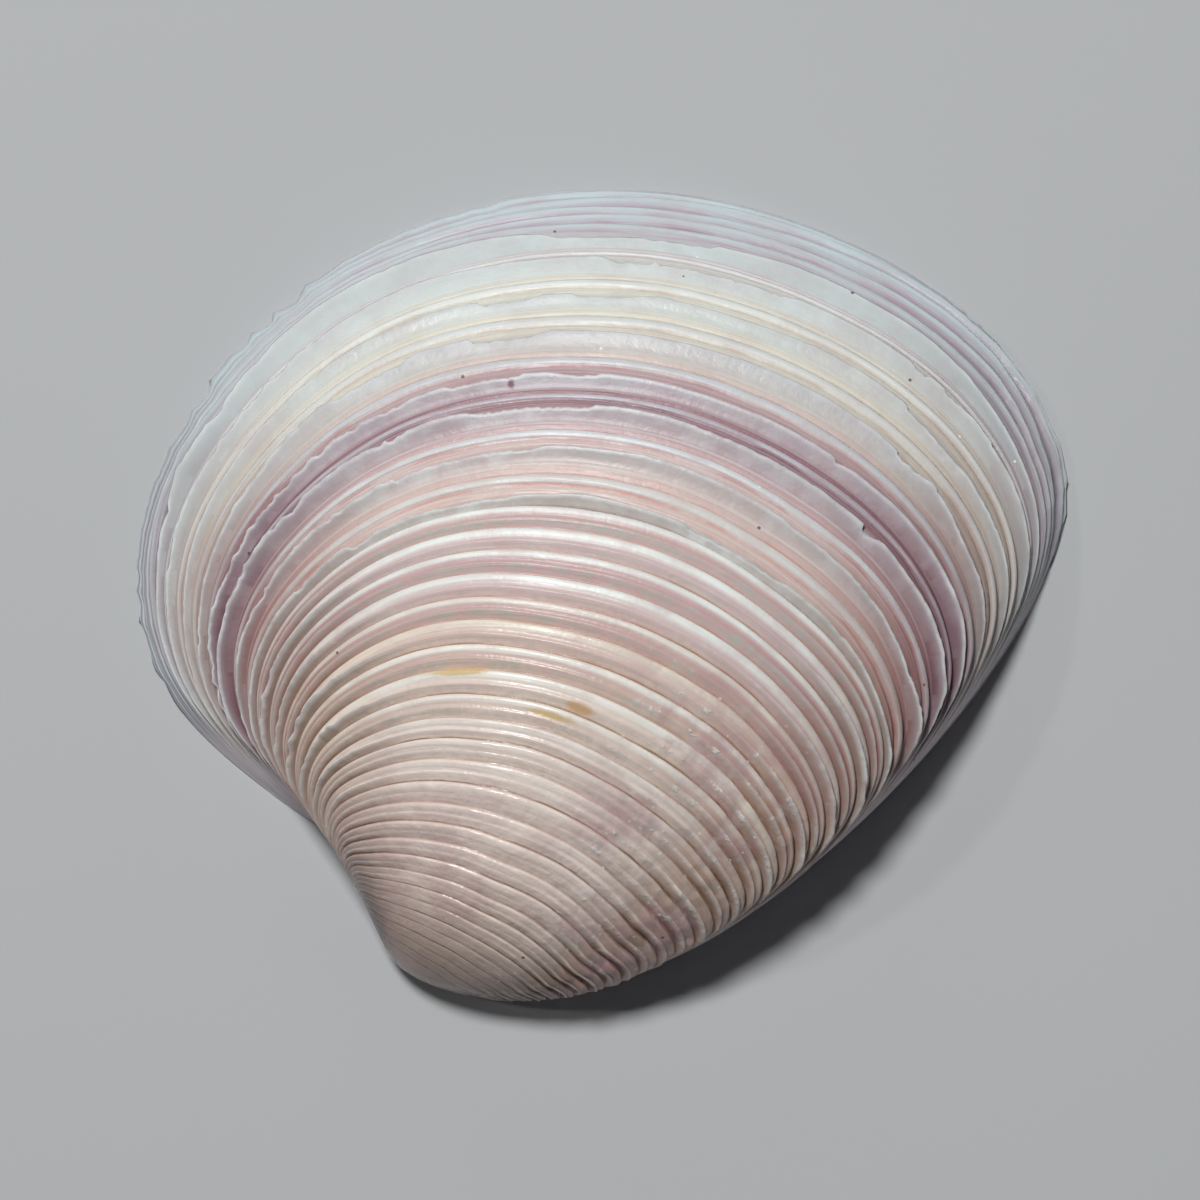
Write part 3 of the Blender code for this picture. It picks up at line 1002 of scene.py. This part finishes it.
# fine lines that follow the growth lines: the lines vector is the place round the margin as a circle
# and the growth in mm, stretched so that noise runs long along a line and short across it
striaeStretch = {
    "Fine": (3.0, 3.0, 9.0),
    "Broad": (6.0, 6.0, 1.1),
    "Threads": (44.0, 44.0, 1.4),
    "Beads": (17.0, 17.0, 0.9),
}
striae, groupIn, groupOut = newGroup(
    "growthStriae", {"Lines": "Vector"}, dict.fromkeys(striaeStretch, "Float"))
for label, stretch in striaeStretch.items():
    stretched = addBeside("VectorMath", {0: groupIn["Lines"], 1: stretch}, operation="MULTIPLY").outputs[0]
    put(groupOut[label], noiseOf(stretched, 1.0, 3.0))

# small round specks: the nearest-point distance of a scatter of points, kept only where the points'
# own random number is low
speckInputs = {"Place": "Vector", "Scale": "Float", "Size": "Float", "Share": "Float"}
specks, groupIn, groupOut = newGroup("scatteredSpecks", speckInputs, {"Mask": "Float"})
scatter = addBeside("TexVoronoi", {"Vector": groupIn["Place"], "Scale": groupIn["Scale"]}).outputs
chosen = addBeside("SeparateColor", {0: scatter["Color"]}).outputs[0]
near = maths("LESS_THAN", scatter["Distance"], groupIn["Size"])
put(groupOut["Mask"], times(near, maths("LESS_THAN", chosen, groupIn["Share"])))

paint = {
    "reach": 52.0,
    # cream and pink of the floor between the lamellae, by growth from the rim in mm
    "floor": [(0.0, 197, 213, 216), (1.9, 194, 205, 208), (3.2, 195, 197, 202), (4.2, 196, 188, 195),
              (4.9, 214, 202, 203), (5.6, 222, 222, 216), (7.2, 226, 225, 212), (8.2, 230, 229, 213),
              (10.6, 228, 225, 209), (12.1, 218, 207, 197), (13.1, 198, 170, 170), (14.2, 150, 113, 120),
              (15.1, 152, 116, 124), (16.2, 190, 158, 162), (17.4, 220, 202, 196), (18.6, 210, 190, 184),
              (20.0, 218, 200, 192), (22.6, 206, 174, 176), (25.1, 212, 180, 181), (27.5, 214, 184, 177),
              (29.9, 228, 206, 194), (32.0, 238, 222, 212), (35.0, 246, 232, 222), (38.0, 246, 228, 218),
              (42.0, 238, 218, 206), (46.0, 184, 160, 146), (52.0, 140, 120, 108)],
    # ribs and ridge crests, paler than the floor: partly their own colour, partly a painted highlight
    "crest": [(0.0, 208, 226, 228), (4.0, 210, 220, 222), (6.0, 228, 235, 233), (8.0, 236, 242, 237),
              (10.0, 226, 230, 228), (12.6, 216, 221, 224), (14.8, 204, 198, 206), (16.8, 228, 234, 236),
              (19.3, 224, 224, 220), (21.2, 246, 251, 247), (23.5, 245, 250, 245), (24.7, 246, 251, 246),
              (27.0, 244, 234, 218), (28.4, 252, 252, 244), (30.8, 250, 246, 236), (33.0, 250, 244, 236),
              (36.0, 252, 242, 232), (39.0, 250, 236, 228), (42.0, 242, 224, 212), (46.0, 194, 170, 156),
              (52.0, 150, 128, 116)],
    # the lamellae's faces at the edge
    "face": [(0.0, 204, 218, 221), (5.0, 208, 219, 218), (8.8, 200, 207, 206), (11.0, 194, 198, 200),
             (13.6, 190, 185, 193), (15.6, 190, 186, 192), (18.0, 188, 188, 188), (21.0, 186, 189, 183),
             (24.0, 188, 190, 182), (27.8, 196, 189, 177), (32.4, 208, 200, 190), (36.0, 224, 210, 200),
             (42.0, 222, 202, 188), (52.0, 140, 118, 106)],
    # and at the root
    "foot": [(0.0, 190, 200, 208), (5.0, 210, 220, 220), (7.0, 226, 234, 228), (9.3, 216, 220, 212),
             (11.7, 204, 200, 193), (14.0, 174, 150, 156), (16.1, 182, 158, 161), (18.4, 202, 188, 182),
             (21.0, 200, 186, 178), (30.0, 206, 190, 176), (40.0, 200, 176, 160), (52.0, 130, 108, 98)],
    # the lines in the grooves: partly their own brown, partly painted shade in the grooves
    "line": [(0.0, 196, 184, 196), (2.0, 188, 166, 180), (3.5, 176, 148, 166), (5.2, 204, 176, 178),
             (8.5, 206, 190, 176), (11.5, 200, 172, 160), (13.0, 186, 142, 140), (15.1, 124, 82, 92),
             (17.0, 188, 138, 138), (18.8, 214, 144, 134), (20.2, 210, 146, 134), (22.0, 182, 140, 112),
             (27.0, 164, 126, 94), (31.0, 146, 118, 94), (36.0, 136, 108, 92), (40.0, 116, 92, 80),
             (44.0, 96, 76, 66), (52.0, 80, 62, 54)],
    # each stop: place from one line to the next, crest, grey strip, groove line
    "lamellaStripes": [(0.0, 0.6, 0, 0.2), (0.04, 0.6, 0, 0), (0.11, 0.5, 0, 0), (0.14, 0, 0, 0.3),
                       (0.18, 0, 0, 0), (0.31, 0, 0, 0), (0.36, 0, 0, 0.8), (0.40, 0.6, 0, 0.1),
                       (0.44, 1, 0, 0), (0.64, 1, 0, 0), (0.69, 0.5, 0, 0.3), (0.73, 0, 0, 0.8),
                       (0.77, 0.1, 0, 0), (0.86, 0.4, 0, 0), (0.90, 0, 0, 0.3), (0.94, 0, 0, 0),
                       (1.0, 0, 0, 0.4)],
    "rimStripes": [(0.0, 0, 0, 0.7), (0.08, 0.3, 0, 0.2), (0.16, 1, 0, 0), (0.45, 1, 0, 0),
                   (0.58, 0.5, 0, 0.15), (0.72, 0, 0, 0.55), (0.90, 0, 0, 0.9), (1.0, 0, 0, 0.7)],
    # a weak ridge from 0 to 0.5 and a strong one from 0.5 to 1
    "ridgeStripes": [(0.0, 0, 0, 0.6), (0.022, 0.5, 0, 0.4), (0.038, 1, 0, 0), (0.15, 1, 0, 0),
                     (0.19, 0.6, 0, 0), (0.23, 0.35, 0, 0), (0.33, 0.25, 0, 0), (0.36, 0.3, 0.3, 0),
                     (0.44, 0.3, 0.7, 0), (0.472, 0.1, 0.3, 0.3), (0.488, 0, 0, 1), (0.504, 0, 0, 1),
                     (0.522, 0.5, 0, 0.4), (0.538, 1, 0, 0), (0.62, 1, 0, 0), (0.66, 0.4, 0, 0),
                     (0.70, 0, 0, 0), (0.765, 0, 0, 0.25), (0.79, 0, 0.9, 0), (0.93, 0, 1, 0),
                     (0.96, 0, 0.5, 0.2), (0.985, 0, 0, 0.6), (1.0, 0, 0, 0.6)],
    "zones": [(3.7, 3.9), (20.7, 20.9)],    # growth over which one pattern gives way to the next
    # pale thin edges: partly the lamellae's own paler edges, partly a painted highlight
    "edge": (238, 240, 240),
    "torn": (226, 234, 234),
    # the front and rear ends are multiplied by these: partly their own deeper colour, partly painted shade
    # on the steep sides and in the gaps between the lamellae
    "flank": [(0.0, 192, 174, 184), (3.0, 166, 146, 158), (5.0, 196, 184, 188), (9.0, 214, 198, 197),
              (12.0, 190, 166, 166), (14.0, 164, 128, 136), (16.0, 172, 138, 146), (18.0, 186, 150, 152),
              (21.0, 192, 158, 152), (25.0, 202, 174, 162), (30.0, 212, 188, 174), (36.0, 188, 168, 154),
              (42.0, 166, 142, 130), (48.0, 130, 108, 98)],
    "lunule": (226, 212, 220),
    # painted shadow in the deep groove after the end of each strong ridge at the front
    "gapShadow": (150, 112, 96),
    # painted shade under the beak at the front, multiplied in
    "beakShade": (98, 93, 98),
    "chips": (232, 230, 220),
    "bloom": (216, 206, 208),
    "blush": (186, 148, 150),
    "darkSpecks": (92, 66, 58),
    # pale specks that are painted glints
    "glintSpecks": (246, 240, 226),
    # stains and a spot: round the margin, growth, half sizes in mm along and across, colour
    "stains": [(0.402, 29.42, 1.7, 0.17, (214, 182, 116)), (0.500, 30.25, 0.7, 0.24, (204, 168, 120)),
               (0.478, 30.95, 1.1, 0.20, (214, 186, 132)), (0.4435, 14.05, 0.20, 0.20, (104, 40, 44))],
}


def growthColours(growth, *names):
    # ramps over growth from 0 to the reach; each stop is the growth and its colour
    share = maths("DIVIDE", growth, paint["reach"])
    return [rampOf(share, [(stop[0] / paint["reach"], srgb(*stop[1:])) for stop in paint[name]])
            for name in names]


def stripeMasks(fraction, name):
    # three masks kept in one colour ramp, crest in red, grey strip in green and groove line in blue
    return rampOf(fraction, [(stop[0], (*stop[1:], 1.0)) for stop in paint[name]])


def stainMask(place, patch, centre, growth, half, across):
    # 1 inside an oval on the shell: the distance from its middle along the growth line and across it,
    # each divided by its half size, and the edge roughened by the patch noise
    age, centre = np.array([ageOf(growth)]), np.array([centre])
    spot = growthSurface(age, centre)[0] * mm
    offset = addBeside("VectorMath", {0: place, 1: tuple(map(float, spot))}, operation="SUBTRACT").outputs[0]
    squares = []
    for way, reach in zip(localFrame(age, centre), (half, across)):
        inputs = {0: offset, 1: tuple(float(part) for part in way[0] / (reach * mm))}
        part = addBeside("VectorMath", inputs, operation="DOT_PRODUCT").outputs["Value"]
        squares.append(times(part, part))
    far = plus(maths("SQRT", plus(*squares)), scaled(patch, 1.0, -0.5))
    return between(far, 0.5, 1.3, 0.8, 0.0)


def newMaterial(name):
    material = bpy.data.materials.new(name)
    material.use_nodes = True
    return material, material.node_tree.nodes["Principled BSDF"].inputs


def shellLook(name):
    # what both sides of the shell start from
    material, surface = newMaterial(name)
    tree = material.node_tree
    place = addNode(tree, "TexCoord").outputs["Object"]
    lines = addNode(tree, "Attribute", attribute_name="lines").outputs["Vector"]
    return material, tree, surface, place, useGroup(striae, Lines=lines)


def specksOn(place, scale, size, share):
    # 1 on each speck, else 0
    return useGroup(specks, Place=place, Scale=scale, Size=size, Share=share)["Mask"]


def addBump(surface, height, strength, distance):
    inputs = {"Height": height, "Strength": strength, "Distance": distance}
    put(surface["Normal"], addBeside("Bump", inputs).outputs["Normal"])


# of noises the scale, detail and roughness; of specks how close they lie, their size and the share kept;
# stretches of growth in mm, or of the place round the margin, with the strength before and after them
outsideLook = {
    "patch": (900.0, 3.0, 0.6),
    "fleck": (3000.0, 3.0, 0.6),
    "cloud": (300.0, 4.0, 0.65),
    "grain": (4200.0, 2.0, 0.6),
    "flakeSpecks": (1900.0, 0.16, 0.3),
    "darkSpecks": (620.0, 0.055, 0.16),
    "glintSpecks": (760.0, 0.06, 0.10),
    "plainBeak": (30.0, 35.0, 1.0, 0.35),
    "joinedPair": ((0.28, 0.36), (0.56, 0.64)),
    "joined": (0.33, 0.43, 1.0, 0.0),
    "frontHinge": (0.150, 0.180, 0.6, 0.0),
    "rearHinge": (0.750, 0.790, 0.0, 0.7),
    "gapPhase": (0.87, 0.97),
    "gapFront": (0.25, 0.35, 0.8, 0.0),
    "gapGrowth": ((21.3, 22.3), (33.0, 37.0)),
    # growth and front stretch of the painted shade under the beak
    "beakShade": (35.0, 46.0),
    "beakShadeFront": (0.22, 0.34, 0.9, 0.0),
    "wornGrowth": ((23.0, 29.0), (36.0, 42.0), 0.4),
    "wornRear": ((0.50, 0.58), (0.68, 0.76)),
    "blushBeak": (32.0, 40.0, 0.0, 0.22),
    "darkFromRim": (0.6, 0.9, 0.0, 0.8),
    "roughness": (24.0, 36.0, 0.40, 0.20),
    "bumpLines": (19.0, 23.0, 1.0, 0.55),
    "bumpPatch": (30.0, 40.0, 1.2, 3.2),
    "bumpCloud": (26.0, 38.0, 0.0, 5.0),
    "bump": (0.55, 0.00006),
}


def outsideMaterial():
    # colours by growth, laid over one another by masks, then roughness and bump
    material, tree, surface, place, lines = shellLook("shellOutside")
    look = outsideLook
    fine, broad, threads, beads = (lines[name] for name in striaeStretch)
    noises = (look[name] for name in ("patch", "fleck", "cloud", "grain"))
    patch, fleck, cloud, grain = (noiseOf(place, *noise) for noise in noises)
    plainGrowth, around, side, face, tip, torn, edge, phase = readLayers(
        tree, "growth", "around", "side", "face", "tip", "torn", "edge", "phase")
    growth = plus(plainGrowth, scaled(broad, 0.6, -0.3))
    floorColour, crestColour, faceColour, footColour, lineColour, flankColourAndShade = growthColours(
        growth, "floor", "crest", "face", "foot", "line", "flank")

    # stripes between one line and the next: crests, partly a painted highlight, grey strips, and groove
    # lines, partly painted shade
    phase = plus(phase, scaled(broad, 0.10, -0.05))
    fraction = maths("FRACT", phase)
    pair = maths("FRACT", times(phase, 0.5))
    rimZone, ridgeZone = (between(plainGrowth, *zone) for zone in paint["zones"])
    nearRim = rest(rimZone)
    stripes = coated(stripeMasks(fraction, "rimStripes"), (rimZone, stripeMasks(fraction, "lamellaStripes")),
                     (ridgeZone, stripeMasks(pair, "ridgeStripes")))
    crest, grey, line = addBeside("SeparateColor", {0: stripes}).outputs
    plain = between(plainGrowth, *look["plainBeak"])
    crest = times(crest, between(broad, 0.3, 0.6, 0.7, 1.0), plain)
    grey = times(grey, between(beads, 0.30, 0.60, 0.45, 1.0), between(patch, 0.36, 0.56, 0.3, 1.0),
                 between(fleck, 0.40, 0.54, 0.3, 1.0), plain)
    line = times(line, larger(between(broad, 0.35, 0.60, 0.35, 1.0), ridgeZone),
                 between(broad, 0.30, 0.62, 0.7, 1.0), scaled(times(side, nearRim), -0.6, 1.0))
    # at the front the rim's ridges join in pairs
    joined = times(within(pair, *look["joinedPair"]), between(around, *look["joined"]), nearRim)
    crest = larger(crest, times(joined, 0.8))
    line = times(line, rest(joined))
    colour = coated(floorColour, (crest, crestColour), (grey, faceColour), (line, lineColour))

    # the lamellae, paler where they are broken and mottled along their faces
    mottle = times(scaled(torn, 0.75, 0.25), between(patch, 0.38, 0.68, 0.1, 0.9))
    lamella = coated(footColour, (maths("POWER", tip, 0.6), faceColour), (mottle, paint["torn"]))

    # fine growth lines, then darker flanks, partly their own deeper colour and partly painted shade, least
    # on the lit edges and crests
    fineLines = between(fine, 0.30, 0.70, 0.0, 0.14)
    light = larger(times(maths("POWER", tip, 1.4), 0.75), times(crest, 0.45))
    flank = times(side, rest(light))
    hingeEnds = plus(between(around, *look["frontHinge"]), between(around, *look["rearHinge"]))
    # painted shadow in the grooves after the strong ridges' ends at the front
    gapShadow = times(between(pair, *look["gapPhase"]), between(around, *look["gapFront"]),
                within(plainGrowth, *look["gapGrowth"]))
    # painted shade under the beak at the front
    beakShade = times(between(plainGrowth, *look["beakShade"]), between(around, *look["beakShadeFront"]))
    # pale edges, partly their own paleness and partly a painted highlight, strongest on the flanks
    pale = times(edge, scaled(side, 0.30, 0.38), between(beads, 0.34, 0.60, 0.35, 1.15))
    colour = coated(colour, (face, lamella), (fineLines, lineColour), (flank, flankColourAndShade, "MULTIPLY"),
                    (hingeEnds, paint["lunule"]), (gapShadow, paint["gapShadow"]), (beakShade, paint["beakShade"], "MULTIPLY"),
                    (pale, paint["edge"]))

    # pale flakes on the rear half of the older ridges, stains, dark specks, and pale specks that are painted
    # glints
    worn = times(within(plainGrowth, *look["wornGrowth"]), within(around, *look["wornRear"]))
    flake = times(between(patch, 0.46, 0.56), between(tip, 0.3, 0.8), between(fleck, 0.48, 0.56),
                  between(beads, 0.42, 0.56))
    flake = times(larger(flake, specksOn(place, *look["flakeSpecks"])), worn)
    blush = plus(scaled(worn, 0.42, 0.12), between(plainGrowth, *look["blushBeak"]))
    blush = times(between(cloud, 0.44, 0.62), blush)
    bloom = times(worn, between(patch, 0.48, 0.66, 0.0, 0.30))
    stains = [(stainMask(place, patch, *oval), stain) for *oval, stain in paint["stains"]]
    dark = times(specksOn(place, *look["darkSpecks"]), between(plainGrowth, *look["darkFromRim"]))
    pale = specksOn(place, *look["glintSpecks"])
    colour = coated(colour, (blush, paint["blush"]), (bloom, paint["bloom"]),
                    (times(flake, 0.85), paint["chips"]), *stains, (dark, paint["darkSpecks"]),
                    (pale, paint["glintSpecks"]))
    put(surface["Base Color"], colour)

    # worn smoother and glossier towards the beak, rough on broken edges
    rough = plus(between(growth, *look["roughness"]), scaled(patch, 0.24, -0.12))
    put(surface["Roughness"], plus(rough, times(torn, 0.15), clamp=True))
    height = scaled(fine, between(growth, *look["bumpLines"]), times(grain, 0.45))
    height = plus(height, times(threads, 0.3))
    height = scaled(patch, between(plainGrowth, *look["bumpPatch"]), height)
    height = scaled(cloud, between(plainGrowth, *look["bumpCloud"]), height)
    addBump(surface, plus(height, times(flake, 0.8)), *look["bump"])
    return material


insideLook = {
    "cloud": (90.0, 3.0, 0.5),
    "white": (240, 236, 230),
    "cloudColour": (228, 220, 216),
    "blush": (226, 190, 178),
    "blushFrom": (9.0, 17.0),     # mm from the rim
    "scar": (206, 196, 190),
    "specks": (420.0, 0.045, 0.08),
    "speckColour": (140, 118, 104),
    "bump": (0.4, 0.00005),
}


def insideMaterial():
    # white with clouds, a blush in the hollow, scars and dark specks
    material, tree, surface, place, lines = shellLook("shellInside")
    look = insideLook
    depth, scar = readLayers(tree, "growth", "scar")
    cloud = noiseOf(place, *look["cloud"])
    colour = mixColour(between(cloud, 0.35, 0.65), look["white"], look["cloudColour"])
    blush = times(between(depth, *look["blushFrom"]), between(cloud, 0.3, 0.7, 0.3, 0.9), 0.6)
    dark = times(specksOn(place, *look["specks"]), 0.5)
    colour = coated(colour, (blush, look["blush"]), (times(scar, 0.55), look["scar"]),
                    (dark, look["speckColour"]))
    put(surface["Base Color"], colour)
    put(surface["Roughness"], plus(scaled(scar, 0.22, 0.20), scaled(cloud, 0.2, -0.1)))
    addBump(surface, plus(lines["Broad"], times(scar, -1.5)), *look["bump"])
    return material


print("painting the shell")
mesh.materials.append(outsideMaterial())
mesh.materials.append(insideMaterial())
mesh.polygons.foreach_set("material_index", np.concatenate(kinds).astype(np.int32))

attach(shell, "root")
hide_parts("right_valve")

floorLook = {"half": 2.0, "colour": (0.49, 0.503, 0.513, 1), "roughness": 0.8}
floorMesh = bpy.data.meshes.new("floor")
half = floorLook["half"]
corners = [(-half, -half, 0), (half, -half, 0), (half, half, 0), (-half, half, 0)]
floorMesh.from_pydata(corners, [], [(0, 1, 2, 3)])
floor = addObject("floor", floorMesh)
floorMaterial, floorSurface = newMaterial("paleFloor")
floorSurface["Base Color"].default_value = floorLook["colour"]
floorSurface["Roughness"].default_value = floorLook["roughness"]
floorMesh.materials.append(floorMaterial)

# soft round lamps: which way each lies, how far off, how wide, how strong and what colour
lamps = {
    "keyLight": ((-0.16, 0.32, 0.93), 0.6, 0.12, 2.82, (1.0, 1.0, 1.0)),
    "rightLight": ((0.92, 0.05, 0.40), 0.6, 0.30, 0.09, (1.0, 0.99, 0.98)),
    "leftLight": ((-0.66, 0.05, 0.75), 0.6, 0.04, 0.30, (1.0, 0.98, 0.95)),
    "topLight": ((-0.2, 0.9, 0.45), 0.7, 0.30, 0.20, (0.88, 0.95, 1.0)),
}


def placeObject(thing, *axes):
    # its own axes, to the right, up and back, and then where it lies
    thing.matrix_world = Matrix([[axis[i] for axis in axes] for i in range(3)] + [[0, 0, 0, 1]])


for name, (direction, distance, size, power, colour) in lamps.items():
    lamp = bpy.data.lights.new(name, "AREA")
    lamp.shape = "DISK"
    lamp.size = size
    lamp.energy = power
    lamp.color = colour
    away = unit(np.array(direction))
    right = unit(np.cross((0, 0, 1), away))
    placeObject(addObject(name, lamp), right, np.cross(away, right), away, away * distance)

skyLook = {"colour": (0.85, 0.90, 1.0, 1), "strength": 0.033}
world = bpy.data.worlds.new("studio")
world.use_nodes = True
background = world.node_tree.nodes["Background"].inputs
background["Color"].default_value = skyLook["colour"]
background["Strength"].default_value = skyLook["strength"]
bpy.context.scene.world = world
bpy.context.scene.view_settings.view_transform = "Standard"

view = {
    "lens": 156,
    "sensor": 36,
    "clip": (0.01, 10),
    "axes": [(0.9951, 0.0792, -0.0588), (-0.0727, 0.9918, 0.1056), (0.0667, -0.1008, 0.9927)],
    "where": (17.13 * mm, -25.67 * mm, 248.92 * mm),
}
cameraData = bpy.data.cameras.new("camera")
cameraData.lens = view["lens"]
cameraData.sensor_width = view["sensor"]
cameraData.clip_start, cameraData.clip_end = view["clip"]
camera = addObject("camera", cameraData)
placeObject(camera, *view["axes"], view["where"])
bpy.context.scene.camera = camera
